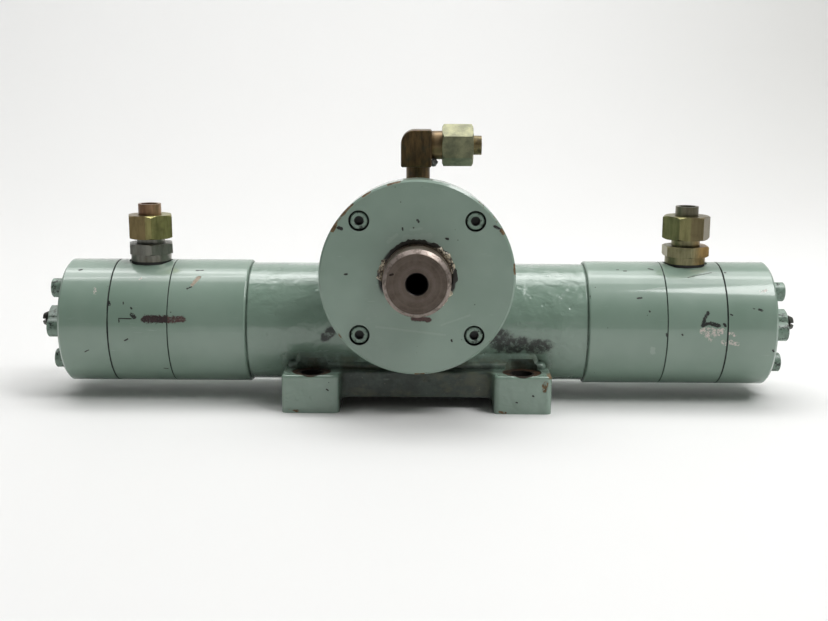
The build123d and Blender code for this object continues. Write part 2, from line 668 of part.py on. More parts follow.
def stop_screw(side):
    """M8 stud: plain towards the piston, threaded outside, with a driver slot."""
    plane = end_plane(side, 0)
    outline = [(0, STOP_IN), (STOP_R - 1, STOP_IN), (STOP_R, STOP_IN + 1), (STOP_R, STOP_THREAD)]
    turns = int((STOP_OUT - 1 - STOP_THREAD) / STOP_PITCH)
    for turn in range(turns):
        start = STOP_THREAD + turn * STOP_PITCH
        outline += [(STOP_R - STOP_THREAD_DEPTH, start + STOP_PITCH / 2),
                    (STOP_R, start + STOP_PITCH * 0.9), (STOP_R, start + STOP_PITCH)]
    outline += [(STOP_R - STOP_CHAMFER, STOP_OUT), (0, STOP_OUT)]
    with BuildPart() as body:
        add(turned(plane, outline))
        with BuildSketch(plane.offset(STOP_OUT)):
            Rectangle(2 * STOP_R + 1, STOP_SLOT_W)
        extrude(amount=-STOP_SLOT_D, mode=Mode.SUBTRACT)
    return body.part


def piston(side):
    """Piston with grooves for its seal and guide ring and a pocket for its bolt head."""
    plane = end_plane(side, 0)
    return turned(plane, [
        (PISTON_BOLT_R + 0.1, RACK_END), (PISTON_R - 0.5, RACK_END), (PISTON_R, RACK_END + 0.5),
        (PISTON_R, GUIDE_LOW), (GUIDE_R, GUIDE_LOW), (GUIDE_R, GUIDE_HIGH), (PISTON_R, GUIDE_HIGH),
        (PISTON_R, SEAL_LOW), (SEAL_R, SEAL_LOW), (SEAL_R, SEAL_HIGH), (PISTON_R, SEAL_HIGH),
        (PISTON_R, PISTON_END - 1), (PISTON_R - 1, PISTON_END), (POCKET_R, PISTON_END),
        (POCKET_R, PISTON_END - POCKET_L), (PISTON_BOLT_R + 0.1, PISTON_END - POCKET_L)])


for end, side in (("left", -1), ("right", 1)):
    axis_plane = end_plane(side, 0)
    outer = end_plane(side, CAP_END)
    write(f"{end}_port_head", port_head(side))
    write(f"{end}_head_seal", o_ring(axis_plane, HEAD_GROOVE_R + 0.7, 1.35, HOUSING_END - 2.0))
    write(f"{end}_end_cap", end_cap(side))
    write(f"{end}_cap_seal", o_ring(axis_plane, CAP_GROOVE_R + 0.95, 1.85, HEAD_END - 3.1))
    with BuildPart() as washers:
        with BuildSketch(outer):
            with PolarLocations(END_BOLT_RING, 6):
                Circle(WASHER_R)
                Circle(END_BOLT_R + 0.1, mode=Mode.SUBTRACT)
        extrude(amount=WASHER_T)
    write(f"{end}_bolt_washers", washers.part)
    write(f"{end}_end_bolts",
          cap_screws(outer.offset(WASHER_T), END_BOLTS, 5.0, 6.0, 5.0, 3.0, END_BOLT_R,
                     CAP_END + WASHER_T - HOUSING_END + END_BOLT_DEPTH - 2))
    write(f"{end}_stop_seal", ring(outer, STOP_R + RUN_GAP, STOP_SEAL_R, 0, STOP_SEAL_T))
    with BuildPart() as lock_nut:
        add(hex_body(outer, LOCK_NUT_FLATS, STOP_SEAL_T, STOP_SEAL_T + LOCK_NUT_H, LOCK_NUT_TURN, 1.2))
        with BuildSketch(outer):
            Circle(STOP_R + RUN_GAP)
        extrude(amount=STOP_SEAL_T + LOCK_NUT_H, mode=Mode.SUBTRACT)
    write(f"{end}_lock_nut", lock_nut.part)
    write(f"{end}_stop_screw", stop_screw(side))

    write(f"{end}_piston", piston(side))
    write(f"{end}_piston_seal", ring(axis_plane, SEAL_R, BORE_R - RUN_GAP, SEAL_LOW, SEAL_HIGH))
    write(f"{end}_guide_ring", ring(axis_plane, GUIDE_R, BORE_R - RUN_GAP, GUIDE_LOW, GUIDE_HIGH))
    write(f"{end}_piston_bolt",
          cap_screws(end_plane(side, PISTON_END - POCKET_L), [(0, 0)], 6.5, POCKET_L, 6.0, 4.0,
                     PISTON_BOLT_R, PISTON_END - POCKET_L - RACK_END + PISTON_BOLT_GRIP - 2))
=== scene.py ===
import json
import math

import bmesh
import bpy
from mathutils import Matrix, Vector
from mathutils import noise as solid_noise


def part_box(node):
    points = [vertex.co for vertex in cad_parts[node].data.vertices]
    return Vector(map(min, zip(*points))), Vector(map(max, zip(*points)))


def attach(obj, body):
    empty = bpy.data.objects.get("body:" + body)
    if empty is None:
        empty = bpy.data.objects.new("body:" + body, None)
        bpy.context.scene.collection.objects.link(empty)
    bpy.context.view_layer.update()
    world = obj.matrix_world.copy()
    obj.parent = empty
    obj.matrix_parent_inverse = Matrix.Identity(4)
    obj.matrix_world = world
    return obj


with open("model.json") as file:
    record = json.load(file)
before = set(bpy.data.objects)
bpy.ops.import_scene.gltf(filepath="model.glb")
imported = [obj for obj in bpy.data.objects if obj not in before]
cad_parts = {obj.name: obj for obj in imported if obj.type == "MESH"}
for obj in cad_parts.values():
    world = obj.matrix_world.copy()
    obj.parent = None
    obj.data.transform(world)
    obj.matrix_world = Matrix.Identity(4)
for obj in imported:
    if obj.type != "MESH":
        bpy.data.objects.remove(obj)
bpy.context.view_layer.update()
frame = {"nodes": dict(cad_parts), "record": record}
nodes = frame["nodes"]
MM = 0.001
FAR = 9.0                                      # cap on a distance counted in radii, well past an edge at 1

PINION = Vector((0, 0, 0.070))
RACK_Z = 0.038
COVER_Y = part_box("front_cover")[0].y          # outer face of the front cover
COVER_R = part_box("front_cover")[1].x
REAR_R = 0.038
FRONT_SCREW_RING, REAR_SCREW_RING, END_BOLT_RING = 0.040, 0.0315, 0.0218
COVER_SOCKET, BOLT_SOCKET = 0.0023, 0.0026     # radii of the sockets in the screw heads, painted dark as shade
FOOT_X, FOOT_Y = 0.0535, 0.038                 # bolt holes of the feet
FOOT_TOP = 0.0194                              # the spot faces lie 0.7 mm lower
ARM_END = 0.088                                # the cast skin stops here
SEAM_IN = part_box("housing")[1].x               # joint between housing and port head
SEAM_OUT = 0.1585                              # joint between port head and end cap
PORT_X = 0.1418                                # middle of the ports, either side


# ------------------------------------------------------------------ node helpers
class Surface:
    """A procedural material with short calls for the nodes it is built from."""

    def __init__(self, name):
        self.mat = bpy.data.materials.new(name)
        self.mat.use_nodes = True
        self.tree = self.mat.node_tree
        self.tree.nodes.clear()
        self.bsdf = self.tree.nodes.new("ShaderNodeBsdfPrincipled")
        out = self.tree.nodes.new("ShaderNodeOutputMaterial")
        self.tree.links.new(self.bsdf.outputs[0], out.inputs[0])
        self.place = self.tree.nodes.new("ShaderNodeTexCoord").outputs["Object"]
        self.split = self.node("ShaderNodeSeparateXYZ", {0: self.place})
        self.x, self.y, self.z = self.split.outputs

    def feed(self, socket, value):
        if isinstance(value, bpy.types.NodeSocket):
            self.tree.links.new(value, socket)
        elif hasattr(value, "__len__") and socket.type == "RGBA":
            socket.default_value = (*value[:3], 1)
        elif hasattr(value, "__len__"):
            socket.default_value = tuple(value)
        elif socket.type in ("RGBA", "VECTOR"):
            socket.default_value = (value,) * len(socket.default_value)
        else:
            socket.default_value = value

    def node(self, kind, inputs=None, **settings):
        made = self.tree.nodes.new(kind)
        for key, value in settings.items():
            setattr(made, key, value)
        for key, value in (inputs or {}).items():
            self.feed(made.inputs[key], value)
        return made

    def math(self, op, a, b=0.0, third=0.0, clamp=False):
        return self.node("ShaderNodeMath", {0: a, 1: b, 2: third}, operation=op,
                         use_clamp=clamp).outputs[0]

    def vector(self, op, a, b=(0, 0, 0)):
        made = self.node("ShaderNodeVectorMath", {0: a, 1: b}, operation=op)
        return made.outputs["Value" if op in ("LENGTH", "DOT_PRODUCT", "DISTANCE") else "Vector"]

    def scaled(self, vector, factor):
        return self.node("ShaderNodeVectorMath", {0: vector, "Scale": factor},
                         operation="SCALE").outputs["Vector"]

    def noise(self, size, detail=3.0, rough=0.55, bend=0.0, stretch=None, seed=0.0):
        """Noise from 0 to 1 whose blobs are about size metres across."""
        place = self.place if stretch is None else self.vector("MULTIPLY", self.place, stretch)
        if seed:
            place = self.vector("ADD", place, (seed, seed * 0.7, -seed))
        return self.node("ShaderNodeTexNoise", {"Vector": place, "Scale": 1 / size,
                                                "Detail": detail, "Roughness": rough,
                                                "Distortion": bend}).outputs[0]

    def cells(self, size, feature="F1", stretch=None, rand=1.0):
        place = self.place if stretch is None else self.vector("MULTIPLY", self.place, stretch)
        return self.node("ShaderNodeTexVoronoi", {"Vector": place, "Scale": 1 / size,
                                                  "Randomness": rand}, feature=feature).outputs[0]

    def step(self, value, low, high):
        """0 at low, 1 at high, smooth between."""
        made = self.node("ShaderNodeMapRange", {"Value": value, "From Min": low, "From Max": high},
                         interpolation_type="SMOOTHSTEP")
        return made.outputs[0]

    def scale(self, value, low, high):
        """Spreads a 0 to 1 value over low to high."""
        return self.node("ShaderNodeMapRange", {"Value": value, "To Min": low,
                                                "To Max": high}).outputs[0]

    def mix(self, share, a, b):
        """Mixes two colours."""
        made = self.node("ShaderNodeMix", {"Factor": share}, data_type="RGBA")
        self.feed(made.inputs[6], a)
        self.feed(made.inputs[7], b)
        return made.outputs[2]

    def blend(self, share, a, b):
        """Mixes two numbers."""
        made = self.node("ShaderNodeMix", {"Factor": share}, data_type="FLOAT")
        self.feed(made.inputs[2], a)
        self.feed(made.inputs[3], b)
        return made.outputs[0]

    def radial(self, centre, keep):
        """Distance from a centre, counting only the axes kept."""
        offset = self.vector("SUBTRACT", self.place, centre)
        return self.vector("LENGTH", self.vector("MULTIPLY", offset, keep))

    def ragged(self, reach, rough_edge, grain, soft, seed):
        """Turns a distance counted in radii into a mask with a ragged edge at 1."""
        frayed = self.math("SUBTRACT", self.noise(grain, 4, 0.65, seed=seed), 0.5)
        edge = self.math("ADD", reach, self.math("MULTIPLY", frayed, rough_edge * 2))
        return self.step(edge, 1 + soft, 1 - soft)

    def patches(self, spots, ragged=0.8, grain=0.004, soft=0.3, seed=0.0):
        """Ragged spots, each a centre and three radii in millimetres: 1 inside, 0 outside."""
        nearest = FAR
        for centre, radii in spots:
            offset = self.vector("SUBTRACT", self.place, Vector(centre) * MM)
            reach = self.vector("LENGTH", self.vector("MULTIPLY", offset,
                                                      [1 / (r * MM) for r in radii]))
            nearest = self.math("MINIMUM", reach, nearest)
        return self.ragged(nearest, ragged, grain, soft, seed)

    def strokes(self, lines, ragged=0.5, grain=0.002, soft=0.2, seed=0.0):
        """Ragged lines, each a start, an end and a half width in millimetres."""
        nearest = FAR
        for start, end, width in lines:
            first, run = Vector(start) * MM, (Vector(end) - Vector(start)) * MM
            offset = self.vector("SUBTRACT", self.place, first)
            along = self.math("DIVIDE", self.vector("DOT_PRODUCT", offset, run),
                              run.length_squared, clamp=True)
            gap = self.vector("DISTANCE", offset, self.scaled(run, along))
            nearest = self.math("MINIMUM", self.math("DIVIDE", gap, width * MM), nearest)
        return self.ragged(nearest, ragged, grain, soft, seed)

    def both(self, *masks):
        total = masks[0]
        for mask in masks[1:]:
            total = self.math("MULTIPLY", total, mask)
        return total

    def flip(self, mask):
        return self.math("SUBTRACT", 1.0, mask)

    def bump(self, height, distance, strength=1.0, under=None):
        inputs = {"Height": height, "Distance": distance, "Strength": strength}
        if under is not None:
            inputs["Normal"] = under
        return self.node("ShaderNodeBump", inputs).outputs[0]

    def finish(self, color, rough, normal=None, metal=0.0, coat=None):
        self.feed(self.bsdf.inputs["Base Color"], color)
        self.feed(self.bsdf.inputs["Roughness"], rough)
        self.feed(self.bsdf.inputs["Metallic"], metal)
        if coat is not None:
            self.feed(self.bsdf.inputs["Coat Weight"], coat)
            self.bsdf.inputs["Coat Roughness"].default_value = COAT_ROUGHNESS
        if normal is not None:
            self.feed(self.bsdf.inputs["Normal"], normal)
        return self.mat


COAT_ROUGHNESS = 0.10
PAINT = (0.200, 0.291, 0.229)
PAINT_LIGHT = (0.240, 0.333, 0.270)
PAINT_DARK = (0.132, 0.188, 0.150)
SCRAPED = (0.375, 0.450, 0.398)
PRIMER = (0.100, 0.052, 0.047)
PRIMER_DARK = (0.040, 0.021, 0.021)
BEIGE = (0.400, 0.330, 0.250)
OCHRE = (0.200, 0.120, 0.050)
BARE_IRON = (0.012, 0.012, 0.011)
RUST = (0.085, 0.042, 0.020)
# near-black used both for real grime and for painted shade in sockets, counterbores and the cover's bore
GRIME_AND_SHADE = (0.012, 0.014, 0.012)
PURPLE_GRIME = (0.012, 0.010, 0.010)
WEB_SHADE = (0.030, 0.040, 0.031)
OLIVE_DIRT = (0.120, 0.123, 0.075)
DUST = (0.300, 0.285, 0.247)
SEAM = (0.010, 0.018, 0.014)
PINK = (0.650, 0.559, 0.520)
CREAM = (0.676, 0.598, 0.442)


class Paint(Surface):
    """Grey-green machine enamel, with its wear painted over layer by layer."""

    def __init__(self, name, seed=0.0, cloudy=0.14):
        super().__init__(name)
        tone = self.noise(0.045, 3, 0.6, seed=seed + 0.3)
        self.color = self.mix(self.step(tone, 0.35, 0.7), PAINT, PAINT_LIGHT)
        cloud = self.noise(0.016, 4, 0.65, seed=seed + 1.1)
        self.color = self.mix(self.scale(self.step(cloud, 0.52, 0.85), 0, cloudy),
                              self.color, PAINT_DARK)
        self.rough = self.scale(self.noise(0.009, 4, 0.6, seed=seed), 0.30, 0.44)
        self.height = 0.0
        self.metal = 0.0
        self.gone = 0.0
        self.raise_by(self.noise(0.0016, 2, 0.5, seed=seed), 0.000025)

    def raise_by(self, value, tall):
        """Adds to the relief; tall is in metres, and a negative one sinks."""
        self.height = self.math("MULTIPLY_ADD", value, tall, third=self.height)

    def layer(self, mask, color, rough, sunk=0.0, metal=None):
        self.color = self.mix(mask, self.color, color)
        self.rough = self.blend(mask, self.rough, rough)
        self.gone = self.math("MAXIMUM", mask, self.gone)
        if sunk:
            self.raise_by(mask, -sunk)
        if metal is not None:
            self.metal = self.blend(mask, self.metal, metal)

    def chip(self, mask, under, rough=0.6, dark=0.5):
        """Paint broken away down to an undercoat or to the iron."""
        mottled = self.mix(self.step(self.noise(0.0014, 4, 0.7), 0.35, 0.65),
                           under, [c * dark for c in under])
        self.layer(mask, mottled, rough, sunk=0.00015)

    def scuff(self, mask, share=0.6):
        """A rubbed trace that leaves the paint lighter and duller."""
        self.layer(self.scale(mask, 0, share), SCRAPED, 0.5)

    def flaky(self, mask, grain=0.0011, low=0.36, high=0.50, seed=5.0):
        """Lets small islands of paint stand inside a worn spot."""
        return self.both(mask, self.step(self.noise(grain, 4, 0.7, seed=seed), low, high))

    def nicks(self, lines, color=BARE_IRON):
        marks = self.flaky(self.strokes(lines, 1.1, 0.0012), low=0.30, high=0.42)
        self.layer(marks, color, 0.55, sunk=0.00008)

    def specks(self, size, share, color, seed=0.0):
        """Small scattered marks; share is how much of the surface they take."""
        dots = self.step(self.cells(size), share, share * 0.5)
        sparse = self.step(self.noise(size * 3, 2, 0.5, seed=seed + 4.0), 0.53, 0.60)
        self.layer(self.both(dots, sparse), color, 0.55)

    def hairlines(self, turn, share=0.35, seed=0.0):
        """Fine scratches that all run one way."""
        turned = self.node("ShaderNodeMapping", {"Vector": self.place, "Rotation": turn,
                                                 "Scale": (0.06, 1.0, 1.0)}).outputs[0]
        thin = self.node("ShaderNodeTexNoise", {"Vector": turned, "Scale": 1400.0, "Detail": 2.0,
                                                "Roughness": 0.5}).outputs[0]
        sparse = self.step(self.noise(0.014, 3, 0.6, seed=seed + 6.0), 0.55, 0.66)
        self.scuff(self.both(self.step(thin, 0.66, 0.72), sparse), share)

    def done(self, coat=0.9):
        normal = self.bump(self.height, 1.0)
        shine = self.math("MULTIPLY", self.flip(self.gone), coat)
        return self.finish(self.color, self.rough, normal, self.metal, shine)


def seam_lines(s, seams):
    """Dark joint lines around both cylinders, each a distance and half its width."""
    side = s.math("ABSOLUTE", s.x)
    for place, half in seams:
        off = s.math("ABSOLUTE", s.math("SUBTRACT", side, place))
        wander = s.math("MULTIPLY", s.math("SUBTRACT", s.noise(0.004, 3, 0.6), 0.5), half)
        s.layer(s.step(s.math("ADD", off, wander), half * 1.35, half * 0.8), SEAM, 0.55)


def cast_skin(s, cast):
    """Lumps, ripples and pits of a sand casting under thick paint."""
    s.raise_by(s.both(s.noise(0.013, 2, 0.5, bend=0.5, seed=2.0), cast), 0.0015)
    s.raise_by(s.both(s.noise(0.0055, 2, 0.5, bend=0.8, seed=3.0, stretch=(0.7, 1, 1)), cast),
               0.0005)
    pits = s.both(s.step(s.cells(0.005), 0.28, 0.10), cast,
                  s.step(s.noise(0.012, 2, seed=9.0), 0.50, 0.62))
    s.raise_by(pits, -0.0002)
    s.rough = s.blend(cast, s.rough, s.scale(s.noise(0.006, 3, 0.6), 0.14, 0.28))


def fold_grime_and_shade(s, middle):
    """Old oil and dust in the folds round the pad, the web and under the boss, laid over painted shade
    that darkens the low folds and the web.
    """
    low = s.step(s.z, 0.0300, 0.0225)
    web = s.both(s.step(s.math("ABSOLUTE", s.x), 0.0400, 0.0375), s.step(s.z, 0.024, 0.020))
    inside = s.step(s.math("ABSOLUTE", s.y), 0.0425, 0.0385)
    base = s.both(s.math("MAXIMUM", s.both(low, middle), web), s.math("MAXIMUM", inside, web))
    clotted = s.both(base, s.step(s.noise(0.010, 5, 0.7, seed=7.0), 0.36, 0.58))
    # painted shade: the low folds under the boss and round the pad darkened with dark enamel
    s.layer(s.scale(base, 0, 0.45), PAINT_DARK, 0.5)
    # painted shade: the web between the feet, under the cover, darkened
    s.layer(s.scale(web, 0, 0.80), WEB_SHADE, 0.5)
    s.layer(s.scale(clotted, 0, 0.48), GRIME_AND_SHADE, 0.5)
    brown = s.both(base, s.step(s.noise(0.007, 5, 0.7, seed=3.3, stretch=(0.5, 1, 1)), 0.46, 0.64))
    s.layer(s.scale(brown, 0, 0.55), OLIVE_DIRT, 0.6)
    grit = s.both(base, s.step(s.cells(0.0016), 0.30, 0.12), s.step(s.noise(0.005), 0.58, 0.66))
    s.layer(s.scale(grit, 0, 0.35), DUST, 0.8)


def arm_grime(s):
    """Greasy dirt beside the front cover, thicker on the right arm."""
    dirty = s.patches([((42.5, -31, 34), (5, 9, 5.5)), ((50, -30, 32), (9, 9, 4.5)),
                       ((61, -30, 31), (8, 8, 3.5)), ((-44.5, -31, 38), (2.6, 8, 2.8)),
                       ((-47.5, -31, 35.5), (2.2, 8, 2.2))], 0.9, 0.006)
    clotted = s.both(dirty, s.step(s.noise(0.0022, 4, 0.7, seed=6.0), 0.34, 0.52))
    s.layer(s.scale(dirty, 0, 0.50), PURPLE_GRIME, 0.5)
    s.layer(s.scale(clotted, 0, 0.80), PURPLE_GRIME, 0.5)


def foot_wear(s):
    """Bare spot faces, painted shade in the bolt holes and rusty knocks on the feet."""
    for sx in (-1, 1):
        for sy in (-1, 1):
            reach = s.radial((sx * FOOT_X, sy * FOOT_Y, 0), (1, 1, 0))
            spot = s.both(s.step(reach, 0.01008, 0.0098),
                          s.step(s.z, FOOT_TOP - 0.0010, FOOT_TOP - 0.0007),
                          s.step(s.z, FOOT_TOP + 0.0006, FOOT_TOP + 0.0002))
            bare = s.mix(s.step(s.noise(0.004, 5, 0.7, seed=sx), 0.35, 0.65), BARE_IRON, RUST)
            s.layer(spot, bare, 0.5, metal=0.25)
            # painted shade: the bolt holes and their rims painted near-black
            s.layer(s.step(reach, 0.0068, 0.0058), (0.012, 0.009, 0.007), 0.7)
    knocks = s.strokes([((64.8, -48, 16.2), (64.2, -48, 12.4), 1.3),
                        ((66.6, -46, 18.6), (67.8, -40, 19), 1.4),
                        ((-66, -47, 2), (-60, -48, 1), 0.6),
                        ((42, -48, 1.2), (45, -48, 0.8), 0.6)], 1.2, 0.0025)
    s.chip(s.flaky(knocks, 0.0018), OCHRE)
    s.nicks([((-45.2, -48, 12.4), (-44.4, -48, 11.8), 0.35), ((58.4, -48, 9.6), (58.9, -48, 9.4), 0.4),
             ((50, -48, 6.2), (50.8, -48, 6.0), 0.35)])


def paint_housing():
    s = Paint("enamel_cast")
    side = s.math("ABSOLUTE", s.x)
    cast = s.step(side, ARM_END + 0.0004, ARM_END - 0.0012)
    cast_skin(s, cast)
    fold_grime_and_shade(s, s.step(side, 0.072, 0.064))
    arm_grime(s)
    # painted shade along the concave step where the turned end meets the cast arm
    step_shade = s.both(s.step(s.math("ABSOLUTE", s.math("SUBTRACT", side, ARM_END - 0.0003)),
                              0.0008, 0.0003), s.step(s.noise(0.006, 4, 0.7, seed=1.0), 0.30, 0.5))
    s.layer(s.scale(step_shade, 0, 0.75), PAINT_DARK, 0.5)
    seam_lines(s, [(SEAM_IN, 0.00028)])
    foot_wear(s)
    s.hairlines((0.2, 0.3, 0.5))
    s.specks(0.0050, 0.08, BARE_IRON)
    strip = s.strokes([((-128.5, -31.9, 44.3), (-120.2, -31.8, 44.6), 1.7)], 1.1, 0.0016)
    s.chip(s.flaky(strip, low=0.34, high=0.46), PRIMER)
    s.chip(s.strokes([((-116.0, -23.0, 61.0), (-113.2, -19.2, 64.2), 1.0)], 0.9, 0.0024), BEIGE,
           dark=0.8)
    s.nicks([((-118.4, -24.6, 59.2), (-116.2, -24.0, 60.2), 0.45),
             ((-115.4, -14.6, 67.0), (-111.8, -14.4, 67.1), 0.35),
             ((122.9, -11.6, 68.3), (120.8, -10.6, 68.8), 0.5),
             ((108.9, -13, 67.8), (107.4, -13, 67.8), 0.4),
             ((104.8, -12, 68.2), (104.0, -12, 68.2), 0.4),
             ((114.8, -27, 56.1), (112.8, -27.1, 55.9), 0.45),
             ((118.5, -30.3, 49.9), (118.7, -30.3, 49.6), 0.45),
             ((127.4, -32.5, 38.6), (127.5, -32.4, 37.4), 0.5),
             ((87.8, -31.6, 45.8), (87.8, -31.7, 44.6), 0.5),
             ((88.4, -26.5, 56.9), (88.4, -27, 56.0), 0.4)])
    s.scuff(s.strokes([((117.3, -24.2, 59.6), (127.2, -22.9, 61.1), 0.35),
                       ((120.7, -31.4, 30.5), (120.9, -31.3, 28.6), 1.3),
                       ((-88.3, -26, 57.5), (-88.6, -21, 62.4), 0.5)], ragged=0.9), 0.7)
    return s.done()


FRONT_SCUFFS = [((-6, -54, 90), (6, -54, 91), 1.4), ((-14, -54, 88), (-10, -54, 91.5), 0.8),
                ((-3, -54, 94), (2, -54, 94.6), 0.6), ((-20, -54, 46), (14, -54, 42), 0.5),
                ((12, -54, 47), (26, -54, 52), 0.45)]
FRONT_NICKS = [((0.2, -54, 98.6), (0.6, -54, 98.0), 0.6), ((-7.2, -54, 94.9), (-7.0, -54, 94.0), 0.45),
               ((-1.9, -54, 95.2), (-1.7, -54, 95.0), 0.35),
               ((-4.4, -54, 89.0), (-3.6, -54, 88.8), 0.5),
               ((14.0, -54, 89.8), (14.9, -54, 89.6), 0.55),
               ((-35.2, -54, 72.0), (-34.2, -54, 72.1), 0.55),
               ((17.1, -54, 39.5), (17.3, -54, 38.9), 0.45),
               ((-38.2, -54, 94.9), (-36.6, -54, 94.3), 0.8),
               ((37.4, -54, 96.0), (39.2, -54, 95.0), 0.7), ((39.2, -54, 95.0), (41.0, -54, 94.4), 0.5)]
FRONT_RIM = [((-41.4, -53.6, 93.6), (-39.8, -53.6, 96.0), 1.1),
             ((-26.4, -53.6, 110.6), (-23.6, -53.6, 112.4), 1.1),
             ((-36.6, -53.6, 100.8), (-31.8, -53.6, 106.2), 0.8),
             ((-14, -53.6, 116.0), (-8.5, -53.6, 117.5), 0.8),
             ((47.6, -53.6, 77.0), (47.8, -53.6, 73.0), 0.9),
             ((30.0, -53.6, 108.0), (32.0, -53.6, 106.4), 0.6),
             ((-0.5, -53.6, 21.9), (3.4, -53.6, 22.0), 0.7),
             ((40.6, -53.6, 94.0), (41.6, -53.6, 92.6), 0.9)]


def paint_cover(name, radius, screw_ring, front):
    """A round cover: faint machining sweep, painted shade in the counterbores, chipped rim."""
    s = Paint(name, seed=2.4)
    s.raise_by(s.noise(0.0040, 3, 0.6, stretch=(0.22, 1.0, 1.0), seed=5.0), 0.00010)
    s.raise_by(s.noise(0.016, 2, 0.5, bend=0.4, seed=2.0), 0.00035)
    reach = s.radial(PINION, (1, 0, 1))
    rim = s.both(s.step(reach, radius - 0.0016, radius - 0.0006),
                 s.step(s.noise(0.007, 5, 0.75, seed=1.0), 0.60, 0.66))
    s.chip(rim, OCHRE)
    s.hairlines((0.0, 0.5, 0.0), seed=1.0)
    for place in range(4):
        angle = math.pi / 4 + place * math.pi / 2
        hole = s.radial(PINION + Vector((math.cos(angle), 0, math.sin(angle))) * screw_ring,
                        (1, 0, 1))
        # painted shade: the counterbores round the screw heads painted dark
        s.layer(s.step(hole, 0.00520, 0.00500), GRIME_AND_SHADE, 0.5)
    if front:
        s.scuff(s.strokes(FRONT_SCUFFS, 1.0, 0.003), 0.16)
        s.nicks(FRONT_NICKS)
        s.chip(s.strokes(FRONT_RIM, 0.95, 0.003), OCHRE, dark=0.35)
        s.chip(s.strokes([((-1.6, -54, 50.2), (6.0, -54, 49.6), 1.2)], 0.8), PRIMER)
        ring = s.step(reach, 0.0196, 0.0184)
        s.layer(s.both(ring, s.step(s.z, 0.060, 0.066)), GRIME_AND_SHADE, 0.35)
        # painted shade: the cover's bore round the shaft painted dark
        s.layer(s.step(reach, 0.0180, 0.0178), GRIME_AND_SHADE, 0.4)
    s.specks(0.006, 0.06, BARE_IRON)
    return s.done()


def paint_turned(name, seed, nicks=(), chips=(), rubbed=(), seams=()):
    """Enamel on a turned head or cap, with its own knocks."""
    s = Paint(name, seed=seed)
    s.raise_by(s.noise(0.020, 2, 0.5, bend=0.3, seed=seed), 0.00028)
    s.hairlines((0.1, 0.2, seed), seed=seed)
    s.specks(0.008, 0.05, BARE_IRON, seed)
    for lines, under in chips:
        s.chip(s.flaky(s.strokes(lines, 1.1, 0.0016), low=0.30, high=0.40), under)
    if rubbed:
        flecks = s.flaky(s.strokes(rubbed, 1.4, 0.0022), 0.0014, 0.44, 0.56)
        s.layer(s.scale(flecks, 0, 0.85), PINK, 0.6)
    if nicks:
        s.nicks(nicks)
    seam_lines(s, seams)
    return s.done()


HEAD_SEAMS = [(SEAM_IN, 0.00022), (SEAM_OUT, 0.00038)]
TURNED = {
    "left_port_head": dict(
        seed=3.1, seams=HEAD_SEAMS,
        chips=[([((-139.2, -31.7, 44.7), (-127.5, -31.9, 44.3), 1.9)], PRIMER_DARK)],
        nicks=[((-145.8, -31.2, 46.8), (-144.6, -31.7, 45.4), 1.0),
               ((-152.6, -31.8, 44.8), (-146.2, -31.8, 44.7), 0.3),
               ((-152.5, -32.0, 44.8), (-152.4, -32.1, 42.9), 0.3),
               ((-146.4, -30.2, 50.1), (-146.2, -30.2, 49.7), 0.5),
               ((-150.6, -29.1, 52.9), (-150.5, -29.4, 51.8), 0.3),
               ((-158.3, -28.8, 53.0), (-157.6, -29.4, 51.6), 0.8),
               ((-149.8, -32.2, 33.4), (-148.4, -32.2, 34.2), 0.4),
               ((-131.8, -24.9, 17.1), (-129.8, -24.6, 16.8), 0.3)],
        rubbed=[((-143.8, -20.3, 63.4), (-143.1, -20.0, 63.7), 0.6)]),
    "right_port_head": dict(
        seed=5.3, seams=HEAD_SEAMS,
        nicks=[((148.4, -30.5, 49.4), (146.6, -31.4, 46.3), 0.8),
               ((146.6, -31.4, 46.3), (145.5, -32.0, 42.9), 0.9),
               ((145.5, -32.0, 43.0), (149.6, -31.9, 44.2), 0.8),
               ((149.6, -31.9, 44.0), (153.6, -32.2, 42.9), 1.0),
               ((156.6, -32.1, 43.6), (157.2, -32.2, 42.8), 0.7),
               ((135.2, -32.5, 38.4), (135.5, -32.5, 38.0), 0.4),
               ((140.0, -17.6, 65.3), (153.0, -14.0, 67.3), 0.18)],
        rubbed=[((145.6, -32.4, 40.2), (155.2, -32.4, 40.4), 1.4),
                ((148.6, -32.4, 38.4), (152.6, -32.4, 38.6), 1.5),
                ((149.4, -32.4, 37.0), (149.8, -32.4, 34.8), 0.9),
                ((156.2, -32.2, 34.6), (157.4, -32.2, 33.8), 1.0)]),
    "left_end_cap": dict(
        seed=7.7, seams=[(SEAM_OUT, 0.00038)],
        nicks=[((-171, -30.5, 27), (-169, -30.8, 28), 0.3),
               ((-176.4, -14.8, 67), (-175.2, -14.4, 67.2), 0.5)],
        rubbed=[((-166.0, -24.6, 59.0), (-165.6, -26.2, 56.8), 0.7)]),
    "right_end_cap": dict(
        seed=9.9, seams=[(SEAM_OUT, 0.00038)],
        nicks=[((159.8, -30.8, 48.6), (160.6, -30.9, 48.2), 0.4),
               ((174.4, -29.8, 50.9), (175.8, -30.0, 50.5), 0.6),
               ((171.4, -29.6, 51.5), (172.0, -29.6, 51.3), 0.3),
               ((159.6, -14, 67.4), (160.2, -14, 67.3), 0.5),
               ((182.2, -31.4, 30.2), (182.6, -31.2, 29.6), 0.5)],
        rubbed=[((159.6, -32.5, 38.8), (162.0, -32.5, 38.4), 0.9),
                ((160.4, -32.3, 34.4), (163.8, -32.1, 33.2), 1.1),
                ((176.0, -24.6, 59.4), (179.0, -24.2, 59.8), 0.8)]),
}


